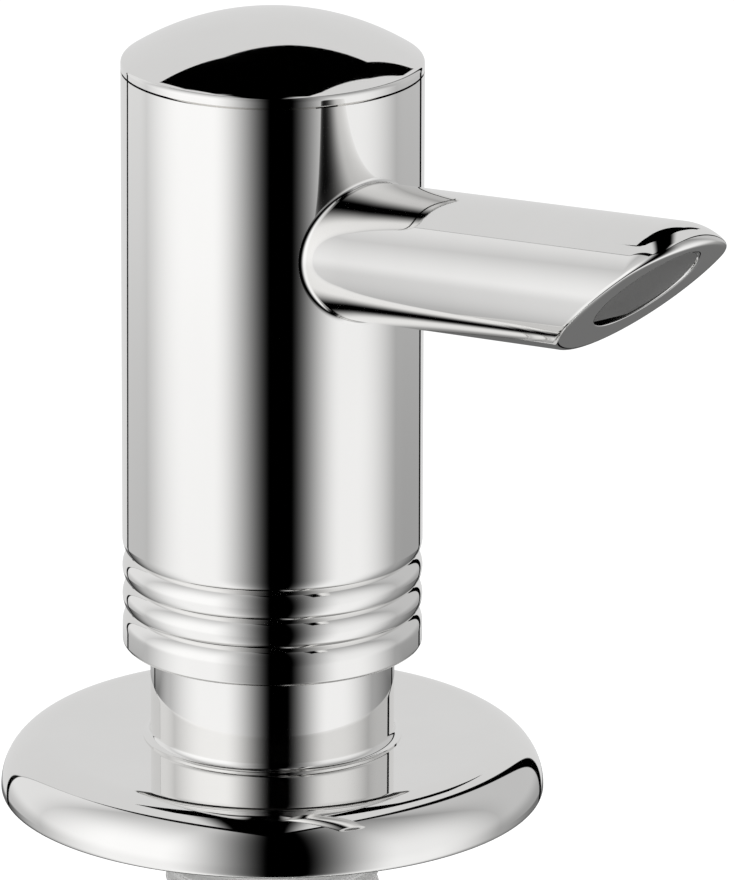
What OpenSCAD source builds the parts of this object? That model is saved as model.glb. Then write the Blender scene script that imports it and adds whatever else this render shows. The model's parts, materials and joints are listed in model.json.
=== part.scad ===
// Deck-mounted dish soap dispenser: a press head with a swivel spout over a lift-out pump,
// a round flange on the deck, and a threaded shank with its nut and bottle below the deck.
// Millimetres, Z up. The origin is on the head's axis, in the plane of the flange's underside.

/* [Head] */
// Outer diameter of the head's shell
head_d = 35; // [33:0.5:40]
// Wall of the head's shell
head_wall = 1.5; // [1.3:0.1:2]
// Height of the shell from its foot to the cap's seam
head_h = 69.2; // [64:0.2:80]
// Number of grooves round the foot of the shell
groove_count = 3; // [1:1:4]
// Distance from one groove to the next
groove_pitch = 3.46; // [3:0.02:4]
// Depth of a groove
groove_depth = 0.75; // [0.4:0.05:0.9]
// Height of the plain band under the lowest groove
foot_band = 4.15; // [3:0.05:5]
// Rounding of the shell's lower edge
foot_round = 0.5; // [0.2:0.05:0.7]

/* [Cap] */
// Open seam between the shell and the cap
seam_gap = 0.25; // [0.1:0.05:0.5]
// Height of the cap's upright rim
cap_rim = 1.1; // [0.8:0.1:3]
// Rounding between the rim and the dome
cap_edge = 0.7; // [0.4:0.1:1.2]
// Rise of the dome over the rim
cap_rise = 5.3; // [3:0.1:7]
// Wall of the cap's plug and thickness of its dome
cap_wall = 2.6; // [2.2:0.1:3.2]

/* [Spout] */
// Outer diameter of the spout
spout_d = 16.06; // [14:0.02:18]
// Bore of the spout
spout_bore = 9.4; // [8.6:0.1:10.4]
// Depth of the spout's axis under the seam, on the head's axis
spout_drop = 20.4; // [19:0.1:24]
// Rise of the spout over the level, in degrees
spout_angle = 8; // [0:0.5:15]
// Length of the spout's axis from the head's axis to the outlet
spout_len = 66.55; // [55:0.05:90]
// Angle between the spout's axis and the outlet face, in degrees
cut_angle = 31.5; // [28:0.5:45]
// Length of the rounded nose over the outlet
nose_len = 8.4; // [4:0.1:10]
// Radius of the rounded nose
nose_r = 7; // [6.5:0.5:14]
// Depth of the outlet insert behind the outlet face
insert_sink = 0.3; // [0.1:0.1:1.5]
// Length of the outlet insert's body behind the lower lip
insert_len = 9; // [7:0.5:14]
// Width of the outlet slot under the insert
outlet_slot = 0.8; // [0.6:0.1:1.6]
// Outer diameter of the delivery tube inside the spout
delivery_d = 5; // [4:0.1:5.6]
// Wall of the delivery tube
delivery_wall = 0.8; // [0.5:0.1:1]

/* [Neck and flange] */
// Wall of the neck's sleeve
neck_wall = 1.67; // [1.2:0.05:1.8]
// Height of the bead at the neck's foot
bead_h = 0.9; // [0.6:0.1:1.4]
// How far the bead stands out from the neck
bead_out = 0.2; // [0.1:0.05:0.3]
// Length of neck between its bead and the head at rest
bare_neck = 10.5; // [8:0.1:12]
// Outer diameter of the flange
flange_d = 63.6; // [56:0.1:75]
// Thickness of the flange
flange_h = 7; // [6.8:0.1:9]
// Radius of the flange's rounded rim
rim_r = 6.2; // [4:0.1:6.2]
// Rounding of the flange's lower edge
flange_foot = 0.7; // [0.2:0.1:0.7]
// Outer diameter of the deck seal
seal_d = 50; // [44:0.5:54]
// Inner diameter of the deck seal
seal_bore = 34; // [30:0.5:38]
// Thickness of the deck seal
seal_t = 1.5; // [1:0.1:2.5]
// Wall of the guide bush between the head's shell and the neck
bush_wall = 1.62; // [1.2:0.02:2.4]
// Depth of the guide bush inside the head
bush_h = 10; // [7:0.5:11]
// Height of the guide bush over the shell's foot
bush_up = 2; // [1:0.1:4]

/* [Shank and clamp] */
// Wall of the threaded shank
shank_wall = 1.9; // [1.6:0.1:2.2]
// Length of the shank below the deck's face
shank_drop = 50; // [48:0.5:70]
// Thickness of the shank's lip and of the pump's collar
lip_t = 2.5; // [2:0.1:3.5]
// Thickness of the deck that the nut is set for
deck_t = 20; // [10:0.5:21]
// Outer diameter of the clamp washers
washer_d = 50; // [44:0.5:56]
// Thickness of the rubber washer
rubber_t = 2; // [1:0.1:3]
// Thickness of the steel washer
steel_t = 1.5; // [1:0.1:2]
// Height of the mounting nut
nut_h = 8; // [6:0.1:9]
// Outer diameter of the mounting nut's ring
nut_d = 34; // [32:0.5:38]
// Span of the nut over its wings
wing_span = 52; // [44:0.5:60]
// Width of a wing
wing_w = 6; // [4:0.1:8]
// Number of wings
wing_count = 4; // [2:1:6]

/* [Bottle] */
// Outer diameter of the bottle
bottle_d = 68; // [60:0.5:80]
// Height of the bottle under its neck
bottle_h = 92; // [70:0.5:130]
// Wall of the bottle
bottle_wall = 1.4; // [1:0.1:2]
// Rounding of the bottle's shoulder
shoulder_r = 12; // [6:0.5:14]
// Rounding of the bottle's heel
heel_r = 6; // [4:0.5:10]
// Rise of the bottle's floor in the middle
floor_rise = 3; // [1:0.1:5]
// Outer diameter of the bottle's neck
bottle_neck_d = 32; // [30:0.5:36]
// Length of thread that the bottle's neck holds
neck_grip = 13; // [10:0.5:14]
// Thickness of the bottle's gasket
gasket_t = 2; // [1:0.1:3]

/* [Pump] */
// Bore of the pump's cylinder
pump_bore = 16; // [15:0.1:16.6]
// Wall of the pump's cylinder
pump_wall = 1.4; // [1:0.1:1.6]
// Length of the pump's cylinder under the collar
pump_len = 40; // [36:0.5:50]
// Length of the collar's plug in the shank
plug_len = 8.5; // [7:0.1:12]
// Diameter of the piston's stem
stem_d = 9; // [8.6:0.1:9.4]
// Bore of the piston's stem
stem_bore = 3.6; // [3:0.1:4]
// Height of the piston
piston_h = 8; // [7:0.1:10]
// Diameter of the valve balls
ball_d = 4.6; // [4.4:0.1:5]
// Lift of the valve balls
ball_lift = 1.2; // [0.8:0.1:1.6]
// Outer diameter of the dip tube
dip_d = 6; // [5:0.1:7]
// Wall of the dip tube
dip_wall = 1; // [0.6:0.1:1.2]
// Height of the dip tube's end over the bottle's floor
dip_gap = 4; // [2:0.5:10]
// Mean diameter of the return spring
spring_d = 11.2; // [10:0.1:12]
// Thickness of the spring's wire
wire_d = 0.9; // [0.7:0.05:1.1]
// Number of turns of the spring
spring_turns = 7; // [5:1:8]

/* [Fits] */
// Radial clearance of fixed fits
fixed_fit = 0.03; // [0.02:0.01:0.05]
// Radial clearance of running fits
run_fit = 0.08; // [0.04:0.01:0.1]
// Axial room between pieces that stop against each other
stop_gap = 0.3; // [0.2:0.05:0.5]
// Room left under the head when it is pressed home
press_room = 1; // [0.5:0.1:2]
// Section diameter of the O-rings
ring_d = 1.6; // [1.4:0.1:1.8]

/* [Hidden] */
$fn = 96;
head_r = head_d / 2;
head_in = head_r - head_wall;
neck_r = head_in - fixed_fit - bush_wall - run_fit;
shank_r = neck_r - neck_wall - fixed_fit;
shank_in = shank_r - shank_wall;
flange_r = flange_d / 2;
spout_r = spout_d / 2;
stem_r = stem_d / 2;
ball_r = ball_d / 2;
pump_r = pump_bore / 2;
delivery_r = delivery_d / 2;
dip_r = dip_d / 2;
thread_fit = run_fit;
overshoot = 1;

// Heights, from the deck up
bead_top = flange_h + bead_h;
head_foot = bead_top + bare_neck;
seam_z = head_foot + head_h;
stroke = bare_neck - press_room;
spout_z = seam_z - spout_drop;
bead_r = (groove_pitch * groove_pitch / 4 + groove_depth * groove_depth) / (2 * groove_depth);
top_groove = head_foot + foot_band + (groove_count - 1) * groove_pitch;

// The hub holds the spout's root and turns on the stem
hub_r = head_in - fixed_fit;
hub_edge = 2.4;
hub_sole = 3.2;
root_depth = 5;
spout_root = head_in - root_depth;
hub_top = spout_z + head_in * tan(spout_angle) + spout_r / cos(spout_angle) + hub_edge;
hub_foot = spout_z - spout_r - hub_sole;
socket_r = stem_r + run_fit;
ball_seat_r = stem_bore / 2;
ball_sit = sqrt(ball_r * ball_r - ball_seat_r * ball_seat_r);
ball_room = 0.6;
chamber_r = ball_r + ball_room;
socket_drop = 3.2;
socket_top = spout_z - socket_drop;
chamber_top = socket_top + ball_sit + ball_r + ball_lift + 2 * ball_room;
pocket_step = 1;
pocket_r = hub_r - cap_wall - pocket_step;
pocket_t = 3;

// The collar rests on the shank's lip and carries the pump
hub_clear = 1.5;
collar_top = hub_foot - stroke - hub_clear;
collar_foot = collar_top - lip_t;
neck_top = collar_foot - lip_t;
plug_r = shank_in - run_fit;
plug_foot = collar_foot - plug_len;
spigot_len = 5;
pump_out = pump_r + pump_wall;
pump_floor_t = 2.5;
pump_foot = plug_foot - pump_len;
piston_top = plug_foot - spigot_len - stop_gap;
piston_foot = piston_top - piston_h;
stem_gap = 0.1;
stem_top = socket_top - stem_gap;
wiper_w = 2.2;
wiper_r = stem_r + wiper_w;
wiper_t = 2;

// The foot valve under the cylinder
cage_t = 1.5;
floor_top = pump_foot + pump_floor_t;
chamber_len = 8.5;
valve_seat = floor_top - chamber_len;
port_len = 3;
tube_top = valve_seat - port_len;
tail_wall = 2.2;
tail_r = dip_r + tail_wall;
tail_len = 13;
tail_foot = tube_top - tail_len;
inlet_ball_z = valve_seat + ball_sit + run_fit;
outlet_ball_z = stem_top + ball_sit + run_fit;
peg_r = 1;
peg_foot = inlet_ball_z + ball_r + ball_lift + run_fit;
spring_foot = floor_top + cage_t;
spring_len = piston_foot - spring_foot;
end_gap = 0.5;
end_pitch = wire_d + end_gap;

// The clamp and the bottle, from the deck down
rubber_top = -deck_t;
steel_top = rubber_top - rubber_t;
nut_top = steel_top - steel_t;
bottle_top = -shank_drop + neck_grip;
ledge_z = -shank_drop - gasket_t;
throat_t = 3;
shoulder_z = ledge_z - throat_t;
bottle_foot = shoulder_z - bottle_h;
bottle_r = bottle_d / 2;
throat_step = 0.2;
throat_r = shank_in + throat_step;
push_up_r = (pow(bottle_r - heel_r, 2) + floor_rise * floor_rise) / (2 * floor_rise);
dip_foot = bottle_foot + floor_rise + bottle_wall + dip_gap;

// Outline helpers: the X of an outline is the radius, its Y is the height
module band(r0, r1, z0, z1) { translate([r0, z0]) square([r1 - r0, z1 - z0]); }
module dot(r, z, size) { translate([r, z]) circle(size); }
module turned() { rotate_extrude() children(); }
module ring(r0, r1, z0, z1) { turned() band(r0, r1, z0, z1); }
module o_ring(r, z) { turned() dot(r, z, ring_d / 2); }
module drum(r, z0, z1) { translate([0, 0, z0]) cylinder(h = z1 - z0, r = r); }

// Local frame of the spout: Z along its axis from the head's axis, X downwards
module along_spout() { translate([0, 0, spout_z]) rotate([0, 90 - spout_angle, 0]) children(); }

// Space beyond the outlet face, moved back by a depth
module beyond_outlet(sink) {
    room = 4 * spout_len;
    translate([0, 0, spout_len]) rotate([0, 90 - cut_angle, 0])
        translate([-room / 2, -room / 2, -sink]) cube(room);
}

// The flange: flat top, quarter-round rim, and a recess for the seal
module base_flange() {
    rim_z = flange_h - rim_r;
    bore_r = shank_r + run_fit;
    color("silver") turned() difference() {
        union() {
            band(bore_r, flange_r - rim_r, 0, flange_h);
            intersection() {
                union() {
                    dot(flange_r - rim_r, rim_z, rim_r);
                    band(bore_r, flange_r, -rim_r, rim_z);
                }
                band(bore_r, flange_r, flange_foot, flange_h);
            }
            band(bore_r, flange_r - flange_foot, 0, flange_foot);
            dot(flange_r - flange_foot, flange_foot, flange_foot);
        }
        band(seal_bore / 2, seal_d / 2, -overshoot, seal_t);
    }
}

module deck_seal() {
    color("dimgray") ring(seal_bore / 2 + fixed_fit, seal_d / 2 - fixed_fit, 0, seal_t);
}

// Sleeve over the shank, with a bead at its foot
module guide_neck() {
    bead_size = bead_h / 2;
    color("silver") turned() {
        band(shank_r + fixed_fit, neck_r, flange_h, neck_top);
        dot(neck_r + bead_out - bead_size, flange_h + bead_size, bead_size);
    }
}

// Shank with the lip that draws the neck and the flange down on the deck
module threaded_shank() {
    color("white") turned() {
        band(shank_in, shank_r, -shank_drop, collar_foot);
        band(shank_in, neck_r, neck_top, collar_foot);
    }
}

module rubber_washer() {
    color("dimgray") ring(shank_r + 2 * run_fit, washer_d / 2, steel_top, rubber_top);
}

module clamp_washer() {
    color("lightgray") ring(shank_r + 2 * run_fit, washer_d / 2, nut_top, steel_top);
}

// Hand nut: a ring with round-ended wings
module mounting_nut() {
    wing_end = wing_span / 2 - wing_w / 2;
    color("ivory") translate([0, 0, nut_top - nut_h]) linear_extrude(nut_h) difference() {
        union() {
            circle(nut_d / 2);
            for (i = [0 : wing_count - 1]) rotate(i * 360 / wing_count) {
                translate([0, -wing_w / 2]) square([wing_end, wing_w]);
                translate([wing_end, 0]) circle(wing_w / 2);
            }
        }
        circle(shank_r + thread_fit);
    }
}

module bottle_gasket() {
    color("dimgray") ring(throat_r, shank_r, ledge_z, -shank_drop);
}

// Half outline of the bottle's body, drawn in by a wall
module bottle_body(wall) {
    r = bottle_r - wall;
    top = shoulder_z - wall;
    foot = bottle_foot + wall;
    sr = shoulder_r - wall;
    hr = heel_r - wall;
    difference() {
        union() {
            band(0, r, foot + hr, top - sr);
            band(0, r - sr, top - sr, top);
            dot(r - sr, top - sr, sr);
            band(0, r - hr, foot, foot + hr);
            dot(r - hr, foot + hr, hr);
        }
        dot(0, foot + floor_rise - push_up_r, push_up_r);
        band(-2 * bottle_r, 0, 2 * bottle_foot, 0);
    }
}

module bottle() {
    color("whitesmoke") turned() difference() {
        union() {
            bottle_body(0);
            band(0, bottle_neck_d / 2, shoulder_z - bottle_wall, bottle_top);
        }
        bottle_body(bottle_wall);
        band(-overshoot, throat_r, shoulder_z - 2 * bottle_wall, bottle_top + overshoot);
        band(-overshoot, shank_r + thread_fit, ledge_z, bottle_top + overshoot);
    }
}

// Collar: rests on the shank's lip, plugs its bore and guides the stem
module pump_collar() {
    groove_z = collar_foot - plug_len / 2;
    guide_r = stem_r + run_fit;
    color("white") turned() difference() {
        union() {
            band(guide_r, neck_r, collar_foot, collar_top);
            band(guide_r, plug_r, plug_foot, collar_foot);
            band(guide_r, pump_r - fixed_fit, plug_foot - spigot_len, plug_foot);
        }
        band(plug_r - ring_d, neck_r, groove_z - ring_d / 2 - fixed_fit, groove_z + ring_d / 2 + fixed_fit);
        band(0, wiper_r, collar_top - wiper_t, collar_top + overshoot);
    }
}

module collar_o_ring() {
    color("black") o_ring(shank_in - ring_d / 2 - fixed_fit, collar_foot - plug_len / 2);
}

module stem_wiper() {
    color("black") ring(stem_r + run_fit, wiper_r - fixed_fit, collar_top - wiper_t, collar_top);
}

// Cylinder with its floor, the foot valve's chamber and the dip tube's socket
module pump_cylinder() {
    color("white") turned() difference() {
        union() {
            band(0, pump_out, pump_foot, plug_foot);
            band(0, tail_r, tail_foot, pump_foot);
        }
        band(-overshoot, pump_r, floor_top, plug_foot + overshoot);
        band(-overshoot, chamber_r, valve_seat, floor_top + overshoot);
        band(-overshoot, ball_seat_r, tube_top - overshoot, valve_seat + overshoot);
        band(-overshoot, dip_r + fixed_fit, tail_foot - overshoot, tube_top);
    }
}

// Disc over the foot valve: seats the spring, and its peg stops the ball
module ball_cage() {
    port_r = 0.6;
    port_at = (peg_r + chamber_r) / 2;
    port_count = 4;
    color("ivory") difference() {
        union() {
            drum(pump_r - fixed_fit, floor_top, spring_foot);
            drum(peg_r, peg_foot, spring_foot);
        }
        for (i = [0 : port_count - 1]) rotate(i * 360 / port_count)
            translate([port_at, 0, 0]) drum(port_r, floor_top - overshoot, spring_foot + overshoot);
    }
}

// Dip tube with a slanted lower end
module dip_tube() {
    color("gainsboro") difference() {
        drum(dip_r, dip_foot, tube_top);
        drum(dip_r - dip_wall, dip_foot - overshoot, tube_top + overshoot);
        translate([-dip_r, 0, dip_foot]) rotate([0, -45, 0])
            translate([-dip_d, -dip_d, -2 * dip_d]) cube(2 * dip_d);
    }
}

// Return spring: one wire tube along a helix with closer turns at both ends
spring_sides = 6;
spring_rings = 12;
spring_steps = spring_turns * spring_rings;
mid_pitch = (spring_len - 2 * stop_gap - wire_d - 2 * end_pitch) / (spring_turns - 2);
function spring_rise(u) =
    u < 1 ? end_pitch * u
    : u < spring_turns - 1 ? end_pitch + mid_pitch * (u - 1)
    : end_pitch * (u - spring_turns + 2) + mid_pitch * (spring_turns - 2);
function spring_point(i, out, up) =
    let (u = i / spring_rings, r = spring_d / 2 + out)
    [r * cos(360 * u), r * sin(360 * u), spring_foot + stop_gap + wire_d / 2 + spring_rise(u) + up];
spring_gap = min([for (i = [0 : spring_steps - spring_rings])
    norm(spring_point(i + spring_rings, 0, 0) - spring_point(i, 0, 0)) - wire_d]);
echo(least_gap_between_spring_turns = spring_gap);

module return_spring() {
    points = [for (i = [0 : spring_steps], k = [0 : spring_sides - 1])
        spring_point(i, wire_d / 2 * cos(360 * k / spring_sides), wire_d / 2 * sin(360 * k / spring_sides))];
    sides = [for (i = [0 : spring_steps - 1], k = [0 : spring_sides - 1])
        let (a = i * spring_sides + k, b = i * spring_sides + (k + 1) % spring_sides)
        each [[a, a + spring_sides, b], [b, a + spring_sides, b + spring_sides]]];
    last = spring_steps * spring_sides;
    ends = [for (k = [1 : spring_sides - 2])
        each [[0, k, k + 1], [last, last + k + 1, last + k]]];
    color("darkgray") polyhedron(points, concat(sides, ends));
}

module inlet_ball() { color("lightgray") translate([0, 0, inlet_ball_z]) sphere(ball_r); }

// Stem with a groove for its O-ring and a seat for the outlet ball
module piston_stem() {
    groove_z = (hub_foot + socket_top) / 2;
    color("white") turned() difference() {
        band(stem_bore / 2, stem_r, piston_foot, stem_top);
        band(stem_r - ring_d, stem_d, groove_z - ring_d / 2 - fixed_fit, groove_z + ring_d / 2 + fixed_fit);
    }
}

// Piston: a spool that holds the seal between two flanges
piston_room = 0.4;
piston_r = pump_r - piston_room;
spool_wall = 1.2;
spool_r = stem_r + spool_wall;
spool_t = 2;
module piston() {
    color("ivory") turned() difference() {
        band(stem_r + fixed_fit, piston_r, piston_foot, piston_top);
        band(spool_r, pump_bore, piston_foot + spool_t, piston_top - spool_t);
    }
}

// Cup seal: a ring with a groove under its lip
module piston_seal() {
    lip = 0.8;
    seal_out = pump_r - run_fit;
    seal_foot = piston_foot + spool_t + fixed_fit;
    color("black") turned() difference() {
        band(spool_r + fixed_fit, seal_out, seal_foot, piston_top - spool_t - fixed_fit);
        band(spool_r + lip, seal_out - lip, seal_foot - overshoot, seal_foot + lip);
    }
}

module stem_o_ring() {
    color("black") o_ring(stem_r - ring_d / 2 + run_fit / 2, (hub_foot + socket_top) / 2);
}

module outlet_ball() { color("lightgray") translate([0, 0, outlet_ball_z]) sphere(ball_r); }

// Shell with beads at its foot and a round opening for the spout
module head_shell() {
    shell_top = seam_z - seam_gap / 2;
    core_r = head_r - groove_depth;
    crest = head_r - bead_r;
    color("silver") difference() {
        turned() {
            band(head_in, core_r, head_foot + foot_round, top_groove + groove_pitch / 2);
            band(head_in, head_r, top_groove + groove_pitch / 2, shell_top);
            for (i = [0 : groove_count]) intersection() {
                dot(crest, top_groove + (0.5 - i) * groove_pitch, bead_r);
                band(head_in, head_r, top_groove - i * groove_pitch, top_groove + (1 - i) * groove_pitch);
            }
            band(head_in, head_r, head_foot + foot_round, head_foot + foot_band - groove_pitch / 2);
            band(head_in, head_r - foot_round, head_foot, head_foot + foot_round);
            dot(head_r - foot_round, head_foot + foot_round, foot_round);
        }
        along_spout() cylinder(h = spout_len, r = spout_r + fixed_fit);
    }
}

// Black bush in the shell's foot that slides on the neck
module guide_bush() {
    foot = head_foot + bush_up;
    color("black") ring(neck_r + run_fit, head_in - fixed_fit, foot, foot + bush_h);
}

// Hub: a socket for the stem, the outlet valve's chamber and a seat for the spout's root
module spout_hub() {
    color("white") difference() {
        drum(hub_r, hub_foot, hub_top);
        drum(socket_r, hub_foot - overshoot, socket_top);
        drum(chamber_r, socket_top - overshoot, chamber_top);
        drum(pocket_r, hub_top - pocket_t, hub_top + overshoot);
        along_spout() cylinder(h = spout_root + overshoot, r = delivery_r + fixed_fit);
        along_spout() drum(spout_r + fixed_fit, spout_root, 2 * head_r);
    }
}

// Spout: a thick tube with a bullet nose, cut off on a slant
module spout() {
    nose_from = spout_len + spout_r / tan(cut_angle) - nose_len;
    color("silver") along_spout() difference() {
        turned() difference() {
            union() {
                band(0, spout_r, spout_root, nose_from);
                intersection() {
                    dot(spout_r - nose_r, nose_from, nose_r);
                    band(0, spout_r, nose_from, nose_from + nose_r);
                }
            }
            band(-overshoot, spout_bore / 2, spout_root - overshoot, nose_from + nose_r);
        }
        beyond_outlet(0);
    }
}

insert_back = spout_len - spout_bore / 2 / tan(cut_angle) - insert_len;
tube_end = insert_back + insert_len / 2;
tube_step = 0.4;
tube_start = chamber_r + tube_step;

module delivery_tube() {
    color("gainsboro") along_spout() turned()
        band(delivery_r - delivery_wall, delivery_r, tube_start, tube_end);
}

// Insert that closes the spout, with a slot for the soap along its lower side
module outlet_insert() {
    insert_r = spout_bore / 2 - fixed_fit;
    color("gray") along_spout() difference() {
        drum(insert_r, insert_back, 2 * spout_len);
        drum(delivery_r + fixed_fit, insert_back - overshoot, tube_end);
        drum(delivery_r - delivery_wall, insert_back, tube_end + delivery_d);
        translate([0, 0, tube_end + delivery_r]) rotate([0, 90, 0])
            cylinder(h = spout_bore, r = delivery_r - delivery_wall);
        translate([insert_r - outlet_slot, -insert_r, tube_end])
            cube([spout_bore, 2 * insert_r, 2 * spout_len]);
        beyond_outlet(insert_sink);
    }
}

// Cap: a shallow dome with a rounded edge over a plug that sits on the hub
module top_cap() {
    rim_z = seam_z + seam_gap / 2;
    dome_z = seam_z + cap_rim;
    dome_r = (head_r * head_r + cap_rise * cap_rise) / (2 * cap_rise);
    dome_at = dome_z + cap_rise - dome_r;
    edge_r = head_r - cap_edge;
    edge_z = dome_at + sqrt(pow(dome_r - cap_edge, 2) - edge_r * edge_r);
    touch_r = edge_r * dome_r / (dome_r - cap_edge);
    plug_in = hub_r - cap_wall;
    groove_z = (hub_top + seam_z) / 2;
    color("silver") turned() difference() {
        union() {
            intersection() {
                dot(0, dome_at, dome_r);
                band(0, touch_r, rim_z, dome_z + cap_rise);
            }
            band(0, head_r, rim_z, edge_z);
            intersection() {
                dot(edge_r, edge_z, cap_edge);
                band(0, head_r, rim_z, dome_z + cap_rise);
            }
            band(0, hub_r, hub_top, rim_z);
        }
        intersection() {
            dot(0, dome_at, dome_r - cap_wall);
            band(-overshoot, plug_in, hub_top, dome_z + cap_rise);
        }
        band(-overshoot, plug_in, hub_top - overshoot, rim_z);
        band(hub_r - ring_d, head_r, groove_z - ring_d / 2 - fixed_fit, groove_z + ring_d / 2 + fixed_fit);
    }
}

module cap_o_ring() {
    color("black") o_ring(head_in - ring_d / 2 - fixed_fit, (hub_top + seam_z) / 2);
}

base_flange();
deck_seal();
guide_neck();
threaded_shank();
rubber_washer();
clamp_washer();
mounting_nut();
bottle_gasket();
bottle();
pump_collar();
collar_o_ring();
stem_wiper();
pump_cylinder();
ball_cage();
dip_tube();
return_spring();
inlet_ball();
piston_stem();
piston();
piston_seal();
stem_o_ring();
outlet_ball();
head_shell();
guide_bush();
spout_hub();
spout();
delivery_tube();
outlet_insert();
top_cap();
cap_o_ring();
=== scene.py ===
import json
import math

import bmesh
import bpy
from mathutils import Matrix, Vector


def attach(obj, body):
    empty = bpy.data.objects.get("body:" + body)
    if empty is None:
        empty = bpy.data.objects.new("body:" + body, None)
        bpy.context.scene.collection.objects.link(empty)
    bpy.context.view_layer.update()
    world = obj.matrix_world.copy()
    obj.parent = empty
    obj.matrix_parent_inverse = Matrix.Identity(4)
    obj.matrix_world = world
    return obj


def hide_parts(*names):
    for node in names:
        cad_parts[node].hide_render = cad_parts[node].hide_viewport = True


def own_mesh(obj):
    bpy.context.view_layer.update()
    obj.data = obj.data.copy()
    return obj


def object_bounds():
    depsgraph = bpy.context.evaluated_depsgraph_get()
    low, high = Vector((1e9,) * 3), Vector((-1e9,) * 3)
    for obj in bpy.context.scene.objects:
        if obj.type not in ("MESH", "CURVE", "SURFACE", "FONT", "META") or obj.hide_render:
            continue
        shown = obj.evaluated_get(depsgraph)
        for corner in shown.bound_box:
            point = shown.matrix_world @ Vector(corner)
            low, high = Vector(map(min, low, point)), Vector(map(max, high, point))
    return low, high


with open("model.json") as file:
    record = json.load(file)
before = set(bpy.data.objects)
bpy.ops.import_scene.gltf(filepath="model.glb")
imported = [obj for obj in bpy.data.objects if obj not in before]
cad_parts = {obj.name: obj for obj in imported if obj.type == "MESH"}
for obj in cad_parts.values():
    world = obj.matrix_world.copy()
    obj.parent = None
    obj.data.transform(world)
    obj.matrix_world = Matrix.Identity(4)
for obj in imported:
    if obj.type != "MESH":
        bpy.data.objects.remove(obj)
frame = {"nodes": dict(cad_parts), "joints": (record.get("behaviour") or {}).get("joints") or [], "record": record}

CAD_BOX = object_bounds()
BODY_OF = {node: body for body, nodes in frame["record"]["behaviour"]["bodies"].items() for node in nodes}
SLOT_OF = {part["node"]: part["material_slot"] for part in frame["record"]["subparts"]}
MM = 0.001
WHITE = (1, 1, 1, 1)

# Camera: the photograph's angle, distance and frame
CAMERA_AZIMUTH = math.radians(50.46)
CAMERA_ELEVATION = math.radians(17.5)
CAMERA_DISTANCE = 1.2
CAMERA_ROLL = math.radians(0.19)
CAMERA_TARGET = Vector((7.02, 8.51, 42.86)) * MM
CAMERA_LENS = 422.6
SENSOR = 36.0

# Sizes in millimetres, as in the part's source: flange, neck and shank
FIXED_FIT = 0.03
RUN_FIT = 0.08
SHANK_R = 12.57
SHANK_IN = 10.67
SHANK_FOOT = -50.0
NECK_R = 14.27
NECK_TOP = 39.97
COLLAR_FOOT = 42.47
FLANGE_R = 31.8
FLANGE_H = 7.0
FLANGE_RIM = 6.2
FLANGE_FOOT = 0.7
SEAL_R = (17.0, 25.0)
SEAL_T = 1.5

# Head and cap
HEAD_R = 17.5
HEAD_IN = 16.0
HEAD_FOOT = 18.4
FOOT_ROUND = 0.5
GROOVES = 3
GROOVE_PITCH = 3.46
GROOVE_DEPTH = 0.75
LOW_GROOVE = 22.55
SEAM_Z = 87.6
SEAM_GAP = 0.25
CAP_RIM = 1.1
CAP_EDGE = 0.7
CAP_RISE = 5.3
CAP_WALL = 2.6
PLUG_R = 15.97
PLUG_FOOT = 79.96
RING_D = 1.6

# Spout
SPOUT_R = 8.03
SPOUT_BORE_R = 4.7
SPOUT_Z = 67.2
SPOUT_ANGLE = math.radians(8)
SPOUT_LEN = 66.55
SPOUT_ROOT = 11.0
CUT_TAN = math.tan(math.radians(31.5))
NOSE_LEN = 8.4
NOSE_R = 7.0
SPOUT_TIP = SPOUT_LEN + SPOUT_R / CUT_TAN
NOSE_FROM = SPOUT_TIP - NOSE_LEN

# Nut, bottle and spring
NUT_TOP = -23.5
NUT_H = 8.0
NUT_R = 17.0
NUT_BORE_R = 12.65
WING_SPAN = 52.0
WING_W = 6.0
WINGS = 4
BOTTLE_R = 34.0
BOTTLE_WALL = 1.4
BOTTLE_TOP = -37.0
BOTTLE_NECK_R = 16.0
BOTTLE_SHOULDER = -55.0
BOTTLE_FOOT = -147.0
BOTTLE_LEDGE = -52.0
THROAT_R = 10.87
SHOULDER_R = 12.0
HEEL_R = 6.0
FLOOR_RISE = 3.0
SPRING_R = 5.6
SPRING_WIRE = 0.9
SPRING_TURNS = 7
SPRING_FOOT = -2.03
SPRING_LEN = 22.7
SPRING_STOP = 0.3
SPRING_END_PITCH = 1.4

# Small forms of the scene alone, in millimetres
SUPPORT = 0.06
FLARE = 0.9
FLARE_LIP = 0.15
OUTLET_ROUND = 0.9
BORE_ROUND = 0.5
ROOT_ROUND = 0.55
ROOT_SINK = (0.5, 0.4)
NOSE_MIN = 3.0
THREAD_PITCH = 2.0
THREAD_DEPTH = 0.95
NUT_BEVEL = 0.7
PARTING_RIDGE = 0.12

# Share of the thread's depth at the shank's foot
THREAD_END = 0.2

# Counts of sides, rows and steps
FINE_SIDES = 256
SIDES = 192
SHANK_SIDES = 96
THREAD_STEPS = 10
TUBE_ROWS = 8
NOSE_ROWS = 30
FACE_ROWS = 4
HALVINGS = 50
SPRING_SIDES = 12
SPRING_STEPS = 48
TENT_SIDES = 96
TENT_ROWS = 32

# Angles from which an edge is sharp or bevelled
SHARP_ANGLE = math.radians(33)
BEVEL_ANGLE = math.radians(40)

# Distances at which points fall together: in a mesh in metres, and in an outline in millimetres
WELD = 1e-7
SAME_POINT = 1e-5

# Finishes: colours, and how far colour and roughness drift
CHROME_TINT = (0.865, 0.86, 0.85)
CHROME_HAZE = 0.985
CHROME_ROUGH = (0.02, 0.045)
PLASTIC_DRIFT = 0.06
METAL_DRIFT = 0.08
MILKY_DRIFT = 0.05
MILKY_SHADE = 0.96
NOISE_MIDDLE = (0.3, 0.7)

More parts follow.
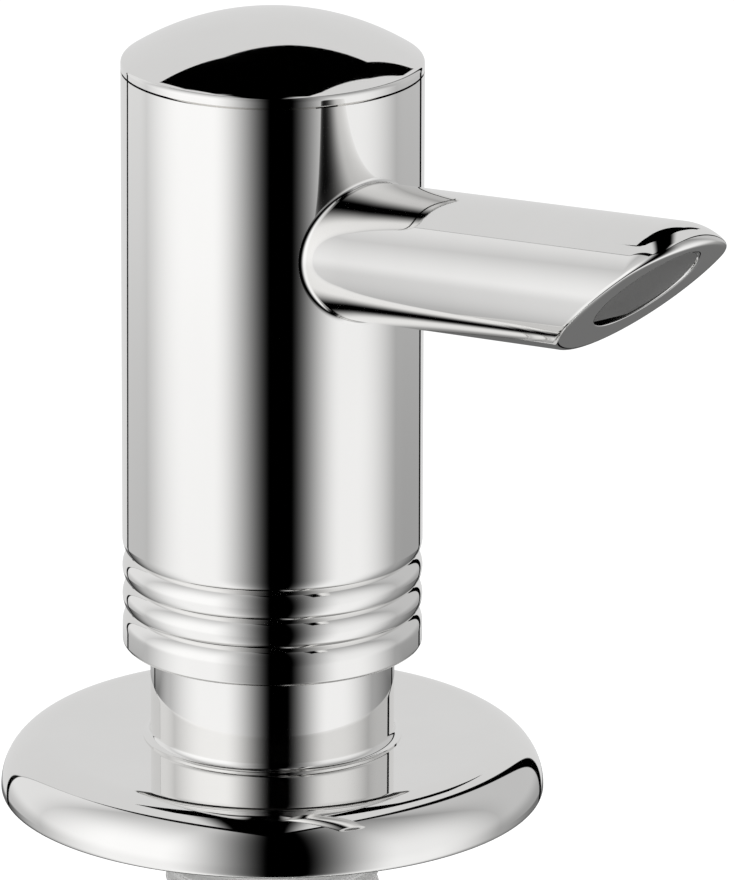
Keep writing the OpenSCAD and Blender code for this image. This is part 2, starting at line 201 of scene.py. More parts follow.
# Light tent that only mirrors show
# Its X points towards the camera, which is its front, and its Y to the camera's right.
# Angles are degrees round from the front, heights are metres, other bounds are parts of a unit direction.
TENT_RADIUS = 0.45
SEAM_SOFT = 0.01
SEAM_REACH = (-0.4, 0.1)
SEAM_TAIL = (-0.7, -0.8)

# Panels of the tent, each on one side of a dark seam that lies in a plane through the origin
# seam: the plane's normal; side: the side of it that the panel is on
# half: half the seam's width behind and in front; tail: what is added to it far behind
# level: brightness; lift: its factor above against below
# rise, fade: where the panel begins and where it fades; ends: what is left after the fade, below and above
# ramp: how far past the seam the panel is full, and its share at the seam
# shade: what is left at the back of the tent's base
PANELS = {
    "left": {
        "seam": (-0.605, 0.705, 0.37), "side": -1, "half": (-0.003, 0.03), "tail": 0.03,
        "level": 1.03, "lift": 1.1, "rise": (-1, -46), "fade": (-68, -122), "ends": (0.55, 0.75),
        "ramp": (0.8, 0.55), "shade": 0.12,
    },
    "right": {
        "seam": (0.49, 0.815, -0.31), "side": 1, "half": (0.04, 0.018), "tail": 0,
        "level": 1.0, "lift": 0.96, "rise": (14, 54), "fade": (66, 122), "ends": (0.38, 0.62),
        "ramp": (0.95, 0.35), "shade": 0.45,
    },
}
PANEL_HEIGHTS = (-0.12, 0.0)
SHADE_FROM = (108, 150)
BASE_HEIGHTS = (-0.14, -0.12)
BACK_LEVEL = 0.74
BACK_LOW = 0.15
SLIT_LEFT = (-0.18, -0.3)
SLIT_RIGHT = (0.06, 0.18)
SLIT_BACK = (-0.3, -0.4)
SLIT_FOOT = (0.85, 0.7)

# Dark hood: its height over the cap in metres, and its outline to the front and the right as shares of that
HOOD_LIFT = 0.12
HOOD_OUTLINE = (
    (-0.76, -0.85), (-0.69, -0.32), (-0.87, 0.1), (-1.03, 0.65), (-2.3, 1.25), (-1.36, 1.03),
    (-0.67, 0.68), (-0.03, 0.25), (0.03, 0.0), (-0.12, -0.4), (-0.36, -0.63),
)

# Floor, soft light and lamps: a lamp's angles are degrees from the camera's direction and above the level
FLOOR_SIZE = 12.0
FLOOR_COLOUR = (0.9, 0.9, 0.9, 1)
FLOOR_ROUGH = 0.9
FLOOR_LIFT = 0.31
STAGE_GAP = 1.0 * MM
SOFT_LIGHT = 0.78
LAMPS = {
    "key": {"azimuth": -60, "elevation": 45, "power": 3.5},
    "fill": {"azimuth": 60, "elevation": 40, "power": 2.2},
}
LAMP_DISTANCE = 1.2
LAMP_SIZE = 0.8


# Node helpers

class Graph:
    """The node tree of a material or of the world."""

    def __init__(self, tree):
        self.nodes = tree.nodes
        self.links = tree.links

    def fill(self, node, inputs):
        """Links outputs to a node's inputs, or sets values on them."""
        for key, value in inputs.items():
            if isinstance(value, bpy.types.NodeSocket):
                self.links.new(value, node.inputs[key])
            else:
                node.inputs[key].default_value = value

    def add(self, kind, inputs, **settings):
        node = self.nodes.new(kind)
        for key, value in settings.items():
            setattr(node, key, value)
        self.fill(node, inputs)
        return node

    def calc(self, operation, first, second):
        return self.add("ShaderNodeMath", {0: first, 1: second}, operation=operation).outputs["Value"]

    def ranged(self, source, start, end, low=0.0, high=1.0, kind="SMOOTHSTEP"):
        """Maps start and end of a source to low and high, and stops there."""
        inputs = {"Value": source, "From Min": start, "From Max": end, "To Min": low, "To Max": high}
        return self.add("ShaderNodeMapRange", inputs, interpolation_type=kind).outputs["Result"]

    def split(self, vector):
        node = self.add("ShaderNodeSeparateXYZ", {"Vector": vector})
        return [node.outputs[axis] for axis in "XYZ"]

    def noise(self, scale, detail, stretch=(1, 1, 1)):
        """Noise in the piece's own coordinates, in features per metre."""
        place = self.add("ShaderNodeTexCoord", {})
        turn = self.add("ShaderNodeMapping", {"Vector": place.outputs["Object"], "Scale": stretch})
        inputs = {"Vector": turn.outputs["Vector"], "Scale": scale, "Detail": detail}
        return self.add("ShaderNodeTexNoise", inputs).outputs["Fac"]

    def spread(self, source, low, high):
        """Maps the middle of a noise to a range of values."""
        return self.ranged(source, *NOISE_MIDDLE, low, high, "LINEAR")

    def colours(self, source, dark, light):
        """Maps the middle of a noise to a range of colours."""
        node = self.add("ShaderNodeValToRGB", {"Fac": source})
        for element, position, colour in zip(node.color_ramp.elements, NOISE_MIDDLE, (dark, light)):
            element.position = position
            element.color = (*colour, 1)
        return node.outputs["Color"]

    def bump(self, source, strength, distance):
        inputs = {"Height": source, "Strength": strength, "Distance": distance}
        return self.add("ShaderNodeBump", inputs).outputs["Normal"]

    def seen(self):
        """One for rays from the camera, off a mirror and through a clear piece, or else zero."""
        rays = self.add("ShaderNodeLightPath", {}).outputs
        either = self.calc("MAXIMUM", rays["Is Camera Ray"], rays["Is Glossy Ray"])
        return self.calc("MAXIMUM", either, rays["Is Transmission Ray"])


def new_material(name):
    made = bpy.data.materials.new(name)
    made.use_nodes = True
    graph = Graph(made.node_tree)
    return made, graph, graph.nodes["Principled BSDF"]


# Materials

def chrome(name):
    """Polished plate: a bright metal with faint polishing haze."""
    made, graph, shader = new_material(name)
    haze = graph.noise(scale=160, detail=5, stretch=(1, 1, 0.35))
    hazed = [CHROME_HAZE * c for c in CHROME_TINT]
    graph.fill(shader, {
        "Metallic": 1.0,
        "Base Color": graph.colours(haze, hazed, CHROME_TINT),
        "Roughness": graph.spread(haze, *CHROME_ROUGH),
    })
    return made


def plastic(name, dark, light, rough, grain, grain_depth):
    """Moulded plastic: slight colour drift, a fine grain and uneven gloss."""
    made, graph, shader = new_material(name)
    drift = graph.noise(scale=90, detail=3)
    fine = graph.noise(scale=grain, detail=2)
    graph.fill(shader, {
        "Base Color": graph.colours(drift, dark, light),
        "Roughness": graph.spread(drift, rough - PLASTIC_DRIFT, rough + PLASTIC_DRIFT),
        "Normal": graph.bump(fine, strength=0.25, distance=grain_depth),
    })
    return made


def metal(name, dark, light, rough, stretch):
    """Bare metal with fine marks along its making direction."""
    made, graph, shader = new_material(name)
    marks = graph.noise(scale=700, detail=4, stretch=stretch)
    drift = graph.noise(scale=60, detail=3)
    graph.fill(shader, {
        "Metallic": 1.0,
        "Base Color": graph.colours(drift, dark, light),
        "Roughness": graph.spread(marks, rough - METAL_DRIFT, rough + METAL_DRIFT),
        "Normal": graph.bump(marks, strength=0.12, distance=0.00005),
    })
    return made


def milky(name, tint, rough, through):
    """Milky plastic that lets some light through."""
    made, graph, shader = new_material(name)
    drift = graph.noise(scale=40, detail=3)
    dark = [MILKY_SHADE * c for c in tint]
    graph.fill(shader, {
        "Base Color": graph.colours(drift, dark, tint),
        "Roughness": graph.spread(drift, rough - MILKY_DRIFT, rough + MILKY_DRIFT),
        "Transmission Weight": through,
        "IOR": 1.5,
    })
    return made


# Finish of each slot
# plastic: two colours, roughness, grains per metre and their depth in metres
# metal: two colours, roughness and the stretch of its marks
# milky: colour, roughness and the share of light let through
LOOKS = {
    "chrome": (chrome,),
    "insert_grey": (plastic, (0.107, 0.106, 0.104), (0.126, 0.125, 0.123), 0.45, 3000, 0.00004),
    "seal_rubber": (plastic, (0.018, 0.018, 0.019), (0.032, 0.032, 0.034), 0.62, 2400, 0.00008),
    "steel": (metal, (0.56, 0.57, 0.58), (0.66, 0.67, 0.68), 0.3, (6, 1, 1)),
    "nut_plastic": (plastic, (0.72, 0.71, 0.67), (0.79, 0.78, 0.74), 0.5, 2600, 0.00005),
    "bottle_plastic": (milky, (0.86, 0.87, 0.86), 0.38, 0.35),
    "pump_plastic": (plastic, (0.8, 0.8, 0.79), (0.86, 0.86, 0.85), 0.3, 2000, 0.00003),
    "bush_plastic": (plastic, (0.013, 0.013, 0.014), (0.024, 0.024, 0.026), 0.45, 2200, 0.00005),
    "tube_plastic": (milky, (0.84, 0.86, 0.86), 0.22, 0.55),
    "spring_steel": (metal, (0.5, 0.5, 0.51), (0.6, 0.6, 0.61), 0.25, (1, 1, 1)),
    "ball_steel": (metal, (0.62, 0.62, 0.63), (0.7, 0.7, 0.71), 0.14, (1, 1, 1)),
}
FINISHES = {slot: make(slot, *values) for slot, (make, *values) in LOOKS.items()}


def dress_nodes():
    """Gives every solid of the frame the finish of its slot."""
    for node in frame["nodes"].values():
        for place in node.material_slots:
            place.material = FINISHES[place.material.name.split(".")[0]]


# Pieces in place of plain solids

def linked(name, data):
    """A new object in the scene."""
    obj = bpy.data.objects.new(name, data)
    bpy.context.scene.collection.objects.link(obj)
    return obj


def smooth(mesh):
    mesh.shade_smooth()
    mesh.set_sharp_from_angle(angle=SHARP_ANGLE)


def piece(name, node, points, faces):
    """A smooth mesh from points in millimetres, in place of a node and riding on its body."""
    mesh = bpy.data.meshes.new(name)
    mesh.from_pydata([Vector(p) * MM for p in points], [], faces)
    work = bmesh.new()
    work.from_mesh(mesh)
    bmesh.ops.remove_doubles(work, verts=work.verts, dist=WELD)
    bmesh.ops.recalc_face_normals(work, faces=work.faces)
    work.to_mesh(mesh)
    work.free()
    smooth(mesh)
    mesh.materials.append(FINISHES[SLOT_OF[node]])
    obj = linked(name, mesh)
    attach(obj, BODY_OF[node])
    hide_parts(node)
    return obj


def turns(count):
    """Equal angles of a full turn."""
    return [2 * math.pi * i / count for i in range(count)]


def polar(radius, turn, z):
    """A point by its radius, its angle round the Z axis and its height."""
    return radius * math.cos(turn), radius * math.sin(turn), z


def grid_faces(rows, columns, closed=True):
    """Quads between rings of points, with the last ring joined to the first where it is closed."""
    faces = []
    for j in range(rows if closed else rows - 1):
        a, b = j * columns, (j + 1) % rows * columns
        for i in range(columns):
            n = (i + 1) % columns
            faces.append((a + i, a + n, b + n, b + i))
    return faces


def line(start, end):
    """A straight stroke with close points at its ends, which keep its shading flat."""
    a, b = Vector(start), Vector(end)
    step = (b - a).normalized() * min(SUPPORT, (b - a).length / 3)
    return [a, a + step, b - step, b]


def arc(centre, radius, start, end, step=3.0):
    """An arc between two angles, in steps of about so many degrees."""
    count = max(2, round(abs(end - start) / step))
    angles = [math.radians(start + (end - start) * i / count) for i in range(count + 1)]
    return [Vector((centre[0] + radius * math.cos(t), centre[1] + radius * math.sin(t))) for t in angles]


def curve(start, corner, end, count=9):
    """A rounded corner between two points."""
    shares = [i / count for i in range(count + 1)]
    return [start * (1 - t) ** 2 + corner * 2 * t * (1 - t) + end * t * t for t in shares]


def path(*strokes):
    """Joins strokes and leaves out points that fall together."""
    joined = []
    for stroke in strokes:
        for point in stroke:
            if not joined or (point - joined[-1]).length > SAME_POINT:
                joined.append(point)
    if (joined[0] - joined[-1]).length < SAME_POINT:
        joined.pop()
    return joined


def corners(*points):
    """Straight strokes from one corner to the next."""
    joined = []
    for start, end in zip(points, points[1:]):
        joined += line(start, end)
    return joined


def lathe(name, node, outline, sides):
    """A closed outline of radius and height, turned round the Z axis."""
    points = [polar(r, turn, z) for r, z in outline for turn in turns(sides)]
    piece(name, node, points, grid_faces(len(outline), sides))


def make_flange():
    """The flange with its rounded rim and the seal's groove in its underside."""
    bore = SHANK_R + RUN_FIT
    rim = arc((FLANGE_R - FLANGE_RIM, FLANGE_H - FLANGE_RIM), FLANGE_RIM, 90, 0, step=2.0)
    foot = arc((FLANGE_R - FLANGE_FOOT, FLANGE_FOOT), FLANGE_FOOT, 0, -90, step=6.0)
    under = corners(foot[-1], (SEAL_R[1], 0), (SEAL_R[1], SEAL_T), (SEAL_R[0], SEAL_T), (SEAL_R[0], 0),
                    (bore, 0), (bore, FLANGE_H), rim[0])
    lathe("flange_skin", "base_flange", path(rim, foot, under), FINE_SIDES)


def make_neck():
    """The neck with a small hollow flare at its foot."""
    inner = SHANK_R + FIXED_FIT
    flare = arc((NECK_R + FLARE, FLANGE_H + FLARE_LIP + FLARE), FLARE, 270, 180, step=4.0)
    foot = corners((inner, FLANGE_H), (NECK_R + FLARE, FLANGE_H), flare[0])
    wall = corners(flare[-1], (NECK_R, NECK_TOP), (inner, NECK_TOP), (inner, FLANGE_H))
    lathe("neck_sleeve", "guide_neck", path(foot, flare, wall), SIDES)


def make_shell():
    """The head's shell with round beads between the grooves at its foot."""
    radius = (GROOVE_PITCH ** 2 / 4 + GROOVE_DEPTH ** 2) / (2 * GROOVE_DEPTH)
    half = math.degrees(math.asin(GROOVE_PITCH / 2 / radius))
    top = SEAM_Z - SEAM_GAP / 2
    low = LOW_GROOVE - GROOVE_PITCH / 2
    foot = arc((HEAD_R - FOOT_ROUND, HEAD_FOOT + FOOT_ROUND), FOOT_ROUND, -90, 0, step=6.0)
    strokes = [foot, line(foot[-1], (HEAD_R, low))]
    for i in range(GROOVES + 1):
        start = 0 if i == 0 else -half
        end = 0 if i == GROOVES else half
        strokes.append(arc((HEAD_R - radius, low + i * GROOVE_PITCH), radius, start, end))
    strokes.append(corners(strokes[-1][-1], (HEAD_R, top), (HEAD_IN, top), (HEAD_IN, HEAD_FOOT), foot[0]))
    lathe("head_skin", "head_shell", path(*strokes), FINE_SIDES)


def make_cap():
    """The domed cap with its hollow, its plug and the groove of its ring."""
    rim_z = SEAM_Z + SEAM_GAP / 2
    dome_r = (HEAD_R ** 2 + CAP_RISE ** 2) / (2 * CAP_RISE)
    dome_z = SEAM_Z + CAP_RIM + CAP_RISE - dome_r
    edge_r = HEAD_R - CAP_EDGE
    edge_z = dome_z + math.sqrt((dome_r - CAP_EDGE) ** 2 - edge_r ** 2)
    lean = math.degrees(math.asin(edge_r / (dome_r - CAP_EDGE)))
    inner_r = PLUG_R - CAP_WALL
    inner_lean = math.degrees(math.asin(inner_r / (dome_r - CAP_WALL)))
    groove_z = (PLUG_FOOT + SEAM_Z) / 2
    groove = RING_D / 2 + FIXED_FIT
    edge = arc((edge_r, edge_z), CAP_EDGE, 0, 90 - lean, step=4.0)
    dome = arc((0, dome_z), dome_r, 90 - lean, 90, step=0.8)
    hollow = arc((0, dome_z), dome_r - CAP_WALL, 90, 90 - inner_lean, step=2.0)
    plug = corners(hollow[-1], (inner_r, PLUG_FOOT), (PLUG_R, PLUG_FOOT), (PLUG_R, groove_z - groove),
                   (PLUG_R - RING_D, groove_z - groove), (PLUG_R - RING_D, groove_z + groove),
                   (PLUG_R, groove_z + groove), (PLUG_R, rim_z), (HEAD_R, rim_z), edge[0])
    lathe("cap_skin", "top_cap", path(edge, dome, hollow, plug), FINE_SIDES)


# The spout, in its own frame: Z along its axis from the head's axis, X downwards

def nose_radius(z):
    if z <= NOSE_FROM:
        return SPOUT_R
    return SPOUT_R - NOSE_R + math.sqrt(max(0.0, NOSE_R ** 2 - (z - NOSE_FROM) ** 2))


def outlet_z(down):
    """Where the outer wall meets the outlet face, on the side that points down by a share."""
    low, high = SPOUT_ROOT, SPOUT_TIP
    for _ in range(HALVINGS):
        middle = (low + high) / 2
        if middle - SPOUT_LEN + nose_radius(middle) * down / CUT_TAN < 0:
            low = middle
        else:
            high = middle
    return low


def head_z(radius, down, across):
    """Where a line along the spout at a radius meets the head's wall."""
    reach = math.sqrt(HEAD_R ** 2 - (radius * across) ** 2)
    return (reach - radius * down * math.sin(SPOUT_ANGLE)) / math.cos(SPOUT_ANGLE)


def spout_section(turn):
    """Closed outline of radius and length, on one side of the spout's axis."""
    down, across = math.cos(turn), math.sin(turn)
    slope = down / CUT_TAN
    inward = Vector((-1, slope)).normalized()
    wall_z = head_z(SPOUT_R, down, across)
    wall = Vector((SPOUT_R, wall_z))
    skirt = Vector((SPOUT_R + ROOT_ROUND, head_z(SPOUT_R + ROOT_ROUND, down, across)))
    root = curve(skirt, wall, wall + Vector((0, ROOT_ROUND)), count=8)
    tip_z = outlet_z(down)
    tip = Vector((nose_radius(tip_z), tip_z))
    last_z = tip_z - OUTLET_ROUND
    nose_z = min(NOSE_FROM, last_z - NOSE_MIN)
    tube_z = wall_z + ROOT_ROUND
    tube = [Vector((SPOUT_R, tube_z + (nose_z - tube_z) * i / TUBE_ROWS)) for i in range(1, TUBE_ROWS)]
    nose = []
    for i in range(NOSE_ROWS + 1):
        z = nose_z + (last_z - nose_z) * i / NOSE_ROWS
        nose.append(Vector((nose_radius(z), z)))
    edge = curve(nose[-1], tip, tip + inward * OUTLET_ROUND)
    bore = Vector((SPOUT_BORE_R, SPOUT_LEN - SPOUT_BORE_R * slope))
    lip = curve(bore - inward * BORE_ROUND, bore, bore - Vector((0, BORE_ROUND)))
    face = [edge[-1] + (lip[0] - edge[-1]) * i / FACE_ROWS for i in range(1, FACE_ROWS)]
    back = [Vector((SPOUT_BORE_R, SPOUT_ROOT)), Vector((SPOUT_R, SPOUT_ROOT)),
            Vector((SPOUT_R, skirt.y - ROOT_SINK[0])), Vector((skirt.x, skirt.y - ROOT_SINK[1]))]
    return back + root + tube + nose + edge[1:] + face + lip


def make_spout():
    """The spout's sections side by side, leaned up and set on the head."""
    lean_cos, lean_sin = math.cos(SPOUT_ANGLE), math.sin(SPOUT_ANGLE)
    points = []
    for turn in turns(FINE_SIDES):
        section = spout_section(turn)
        for r, along in section:
            x, y, z = polar(r, turn, along)
            points.append((x * lean_sin + z * lean_cos, y, SPOUT_Z - x * lean_cos + z * lean_sin))
    piece("spout_skin", "spout", points, grid_faces(FINE_SIDES, len(section)))


# Pieces under the deck

def make_shank():
    """The shank with its lip above and a helical thread below the flange."""
    rows = [(SHANK_IN, SHANK_FOOT), (SHANK_IN, COLLAR_FOOT), (NECK_R, COLLAR_FOOT), (NECK_R, NECK_TOP),
            (SHANK_R, NECK_TOP), (SHANK_R, 0.0)]
    count = round(-SHANK_FOOT / THREAD_PITCH * THREAD_STEPS)
    points = [polar(r, turn, z) for r, z in rows for turn in turns(SHANK_SIDES)]
    for j in range(1, count + 1):
        z = SHANK_FOOT * j / count
        ends = min(1.0, -z / THREAD_PITCH, (z - SHANK_FOOT) / THREAD_PITCH + THREAD_END)
        for i, turn in enumerate(turns(SHANK_SIDES)):
            wave = 0.5 - 0.5 * math.cos(2 * math.pi * (z / THREAD_PITCH - i / SHANK_SIDES))
            points.append(polar(SHANK_R - THREAD_DEPTH * ends * wave, turn, z))
    piece("shank_thread", "threaded_shank", points, grid_faces(len(rows) + count, SHANK_SIDES))


def nut_outline():
    """The nut's ring with its round-ended wings, seen from above."""
    half = WING_W / 2
    end = WING_SPAN / 2 - half
    side = math.degrees(math.asin(half / NUT_R))
    wing = arc((end, 0), half, -90, 90, step=9.0)
    ring = arc((0, 0), NUT_R, side, 360 / WINGS - side, step=5.0)
    outline = []
    for turn in turns(WINGS):
        outline += [Matrix.Rotation(turn, 2) @ p for p in wing + ring]
    return outline


def make_nut():
    """The nut between its outline and its bore, with bevelled edges."""
    outer = nut_outline()
    inner = [p.normalized() * NUT_BORE_R for p in outer]
    loops = [(inner, NUT_TOP - NUT_H), (outer, NUT_TOP - NUT_H), (outer, NUT_TOP), (inner, NUT_TOP)]
    points = [(p.x, p.y, z) for loop, z in loops for p in loop]
    nut = piece("nut_moulding", "mounting_nut", points, grid_faces(len(loops), len(outer)))
    work = bmesh.new()
    work.from_mesh(nut.data)
    edges = [e for e in work.edges if e.calc_face_angle(0) > BEVEL_ANGLE]
    bmesh.ops.bevel(work, geom=edges, offset=NUT_BEVEL * MM, segments=3, profile=0.6, affect="EDGES")
    work.to_mesh(nut.data)
    work.free()
    smooth(nut.data)


def bottle_side(wall):
    """Half outline of the bottle's body from the middle of its floor to its shoulder, less a wall."""
    r, foot, top = BOTTLE_R - wall, BOTTLE_FOOT + wall, BOTTLE_SHOULDER - wall
    heel, shoulder = HEEL_R - wall, SHOULDER_R - wall
    stand = r - heel
    push_up = ((BOTTLE_R - HEEL_R) ** 2 + FLOOR_RISE ** 2) / (2 * FLOOR_RISE)
    lean = math.degrees(math.asin(stand / push_up))
    floor = arc((0, foot + FLOOR_RISE - push_up), push_up, 90, 90 - lean, step=1.0)
    heel_arc = arc((stand, foot + heel), heel, -90, 0, step=6.0)
    side = line((r, foot + heel), (r, top - shoulder))
    return path(floor, heel_arc, side, arc((r - shoulder, top - shoulder), shoulder, 0, 90, step=4.0))


def make_bottle():
    """The bottle with the parting line of its mould down two sides."""
    bore = SHANK_R + RUN_FIT
    outside = bottle_side(0)
    inside = bottle_side(BOTTLE_WALL)
    neck = corners(outside[-1], (BOTTLE_NECK_R, BOTTLE_SHOULDER), (BOTTLE_NECK_R, BOTTLE_TOP),
                   (bore, BOTTLE_TOP), (bore, BOTTLE_LEDGE), (THROAT_R, BOTTLE_LEDGE),
                   (THROAT_R, BOTTLE_SHOULDER - BOTTLE_WALL), inside[-1])
    outline = path(outside, neck, inside[::-1])
    ridge_from = BOTTLE_FOOT + HEEL_R / 2
    points = []
    for row, (r, z) in enumerate(outline):
        ridged = row < len(outside) and z > ridge_from
        for i, turn in enumerate(turns(SIDES)):
            proud = PARTING_RIDGE if ridged and i % (SIDES // 2) == 0 else 0
            points.append(polar(r + proud, turn, z))
    piece("bottle_blown", "bottle", points, grid_faces(len(outline), SIDES))


def make_spring():
    """Round wire along a helix with closer turns at both ends."""
    count = SPRING_TURNS * SPRING_STEPS
    middle = (SPRING_LEN - 2 * SPRING_STOP - SPRING_WIRE - 2 * SPRING_END_PITCH) / (SPRING_TURNS - 2)
    points = []
    for j in range(count + 1):
        u = j / SPRING_STEPS
        rise = SPRING_END_PITCH * min(u, 1) + middle * min(max(u - 1, 0), SPRING_TURNS - 2)
        rise += SPRING_END_PITCH * max(u - SPRING_TURNS + 1, 0)
        z = SPRING_FOOT + SPRING_STOP + SPRING_WIRE / 2 + rise
        for turn in turns(SPRING_SIDES):
            r = SPRING_R + SPRING_WIRE / 2 * math.cos(turn)
            points.append(polar(r, 2 * math.pi * u, z + SPRING_WIRE / 2 * math.sin(turn)))
    faces = grid_faces(count + 1, SPRING_SIDES, closed=False)
    faces.append(tuple(range(SPRING_SIDES)))
    faces.append(tuple(count * SPRING_SIDES + i for i in range(SPRING_SIDES)))
    spring = piece("spring_wire", "return_spring", points, faces)
    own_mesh(spring)


# Studio

def stage_mesh(name, points, faces, material):
    mesh = bpy.data.meshes.new(name)
    mesh.from_pydata(points, [], faces)
    mesh.materials.append(material)
    return linked(name, mesh)


def mirror_card(name, points, faces, material):
    """A part of the studio that only mirrors show, turned to the camera's direction."""
    card = stage_mesh(name, points, faces, material)
    card.rotation_euler.z = CAMERA_AZIMUTH - math.pi / 2
    card.visible_camera = False
    card.visible_diffuse = False
    card.visible_transmission = False
    card.visible_shadow = False


def glow_finish(name):
    """A material that only shines."""
    made, graph, shader = new_material(name)
    graph.nodes.remove(shader)
    glow = graph.add("ShaderNodeEmission", {})
    graph.fill(graph.nodes["Material Output"], {"Surface": glow.outputs["Emission"]})
    return made, graph, glow


def tent_finish():
    """Two front panels and a back sheet, with dark seams, a gap for the camera and a slit over the top."""
    made, graph, glow = glow_finish("tent_finish")
    place = graph.add("ShaderNodeTexCoord", {}).outputs["Object"]
    way = graph.add("ShaderNodeVectorMath", {0: place}, operation="NORMALIZE").outputs["Vector"]
    x, y, height = graph.split(place)
    front, right, up = graph.split(way)
    angle = graph.calc("ARCTAN2", y, x)
    turned = graph.calc("ABSOLUTE", angle, 0)
    wall = graph.ranged(height, *BASE_HEIGHTS)
    slit = graph.calc("MAXIMUM", graph.ranged(right, *SLIT_LEFT), graph.ranged(right, *SLIT_RIGHT))
    ends = graph.calc("MAXIMUM", graph.ranged(front, *SLIT_BACK), graph.ranged(up, *SLIT_FOOT))
    sheet = graph.ranged(height, *BASE_HEIGHTS, BACK_LOW, BACK_LEVEL)
    total = graph.calc("MULTIPLY", sheet, graph.calc("MAXIMUM", slit, ends))
    panels = []
    for panel in PANELS.values():
        normal = [panel["side"] * c for c in panel["seam"]]
        dot = graph.add("ShaderNodeVectorMath", {0: way, 1: normal}, operation="DOT_PRODUCT").outputs["Value"]
        half = graph.calc("ADD", graph.ranged(front, *SEAM_REACH, *panel["half"]),
                          graph.ranged(front, *SEAM_TAIL, 0, panel["tail"]))
        beyond = graph.calc("SUBTRACT", dot, half)
        short = graph.calc("ADD", dot, half)
        total = graph.calc("MULTIPLY", total, graph.ranged(short, 0, -SEAM_SOFT))
        fade = graph.ranged(angle, *map(math.radians, panel["fade"]))
        loss = graph.ranged(height, *PANEL_HEIGHTS, *(1 - share for share in panel["ends"]))
        shade = graph.ranged(turned, *map(math.radians, SHADE_FROM), 1, panel["shade"])
        factors = (
            graph.ranged(angle, *map(math.radians, panel["rise"])),
            graph.calc("SUBTRACT", 1, graph.calc("MULTIPLY", fade, loss)),
            graph.calc("MAXIMUM", graph.ranged(beyond, 0, *panel["ramp"], 1), fade),
            graph.calc("MAXIMUM", wall, shade),
            graph.ranged(height, *PANEL_HEIGHTS, 1, panel["lift"]),
        )
        level = graph.ranged(beyond, 0, SEAM_SOFT, 0, panel["level"])
        for factor in factors:
            level = graph.calc("MULTIPLY", level, factor)
        panels.append(level)
    for level in panels:
        total = graph.calc("ADD", total, level)
    graph.fill(glow, {"Strength": total})
    return made


def make_tent(base_z):
    """A dome round the origin with a flat base."""
    low = math.asin(base_z / TENT_RADIUS)
    points = []
    for j in range(TENT_ROWS):
        rise = low + (math.pi / 2 - low) * j / TENT_ROWS
        for turn in turns(TENT_SIDES):
            points.append(polar(TENT_RADIUS * math.cos(rise), turn, TENT_RADIUS * math.sin(rise)))
    points.append((0, 0, TENT_RADIUS))
    last = (TENT_ROWS - 1) * TENT_SIDES
    top = TENT_ROWS * TENT_SIDES
    faces = grid_faces(TENT_ROWS, TENT_SIDES, closed=False)
    faces += [(last + i, last + (i + 1) % TENT_SIDES, top) for i in range(TENT_SIDES)]
    faces.append(tuple(range(TENT_SIDES)))
    mirror_card("light_tent", points, faces, tent_finish())


def make_hood():
    """The dark hood over the head, which the cap mirrors."""
    made, graph, glow = glow_finish("hood_finish")
    graph.fill(glow, {"Strength": 0.0})
    top = (SEAM_Z + CAP_RIM + CAP_RISE) * MM
    points = [(HOOD_LIFT * front, HOOD_LIFT * right, top + HOOD_LIFT) for front, right in HOOD_OUTLINE]
    mirror_card("dark_hood", points, [tuple(range(len(points)))], made)


def make_floor(floor_z):
    """A matt white floor that shines a little where it is seen."""
    made, graph, shader = new_material("floor_finish")
    graph.fill(shader, {
        "Base Color": FLOOR_COLOUR,
        "Roughness": FLOOR_ROUGH,
        "Specular IOR Level": 0.0,
        "Emission Color": WHITE,
        "Emission Strength": graph.calc("MULTIPLY", graph.seen(), FLOOR_LIFT),
    })
    half = FLOOR_SIZE / 2
    points = [(-half, -half, 0), (half, -half, 0), (half, half, 0), (-half, half, 0)]
    floor = stage_mesh("floor", points, [(0, 1, 2, 3)], made)
    floor.location.z = floor_z


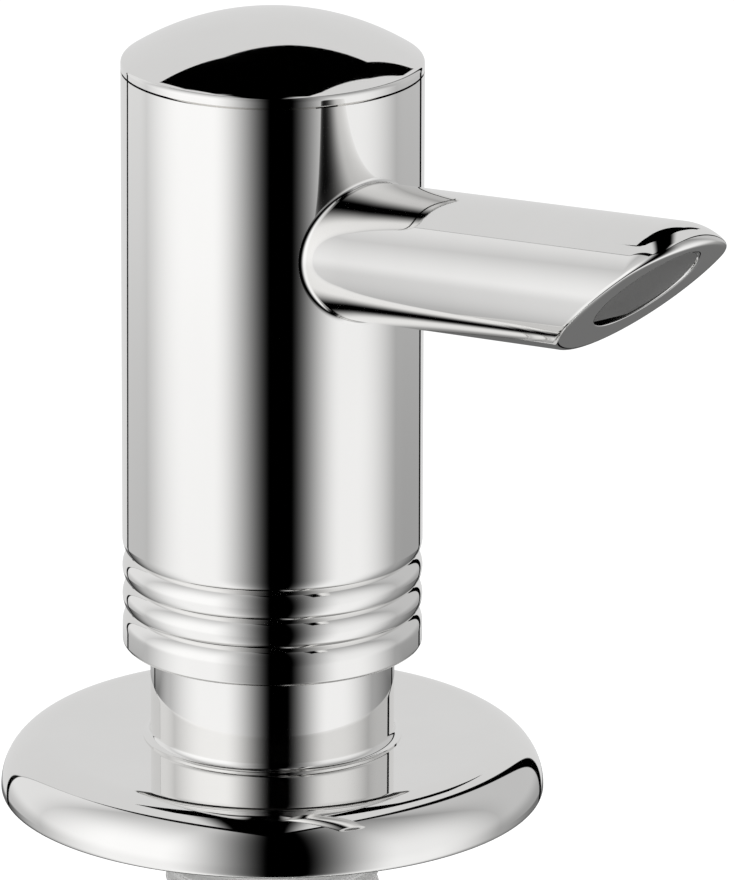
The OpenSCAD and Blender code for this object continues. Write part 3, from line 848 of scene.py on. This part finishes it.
def make_world():
    """White behind the object, and soft grey light on it."""
    world = bpy.data.worlds.new("studio")
    bpy.context.scene.world = world
    world.use_nodes = True
    graph = Graph(world.node_tree)
    soft = graph.nodes["Background"]
    graph.fill(soft, {"Color": WHITE, "Strength": SOFT_LIGHT})
    white = graph.add("ShaderNodeBackground", {"Color": WHITE, "Strength": 1.0})
    shades = {"Fac": graph.seen(), 1: soft.outputs["Background"], 2: white.outputs["Background"]}
    mix = graph.add("ShaderNodeMixShader", shades)
    graph.fill(graph.nodes["World Output"], {"Surface": mix.outputs["Shader"]})


def direction(azimuth, elevation):
    """A unit vector by its angle round from -Y towards +X and its angle above the level."""
    level = math.cos(elevation)
    return Vector((math.sin(azimuth) * level, -math.cos(azimuth) * level, math.sin(elevation)))


def make_lamp(name, azimuth, elevation, power):
    """A soft lamp that mirrors don't show, aimed at the origin."""
    light = bpy.data.lights.new(name, "AREA")
    light.shape = "DISK"
    light.size = LAMP_SIZE
    light.energy = power
    away = direction(CAMERA_AZIMUTH + math.radians(azimuth), math.radians(elevation))
    lamp = linked(name, light)
    lamp.location = away * LAMP_DISTANCE
    lamp.rotation_mode = "QUATERNION"
    lamp.rotation_quaternion = away.to_track_quat("Z", "Y")
    lamp.visible_glossy = False


def make_camera():
    data = bpy.data.cameras.new("camera")
    data.sensor_fit = "VERTICAL"
    data.sensor_width = SENSOR
    data.sensor_height = SENSOR
    data.lens = CAMERA_LENS
    away = direction(CAMERA_AZIMUTH, CAMERA_ELEVATION)
    roll = Matrix.Rotation(CAMERA_ROLL, 3, "Z").to_quaternion()
    camera = linked("camera", data)
    camera.location = CAMERA_TARGET + CAMERA_DISTANCE * away
    camera.rotation_mode = "QUATERNION"
    camera.rotation_quaternion = away.to_track_quat("Z", "Y") @ roll
    bpy.context.scene.camera = camera


dress_nodes()
make_flange()
make_neck()
make_shell()
make_cap()
make_spout()
make_shank()
make_nut()
make_bottle()
make_spring()

# The floor lies where the unscrewed bottle ends, and the tent's base at the fitted bottle's foot
bottle_drop = next(joint for joint in frame["joints"] if joint["name"] == "bottle_drop")
make_floor(CAD_BOX[0].z + bottle_drop["range_m"][0] - STAGE_GAP)
make_tent(CAD_BOX[0].z + STAGE_GAP)
make_hood()
make_world()
for name, values in LAMPS.items():
    make_lamp(name, **values)
make_camera()
bpy.context.scene.view_settings.view_transform = "Standard"
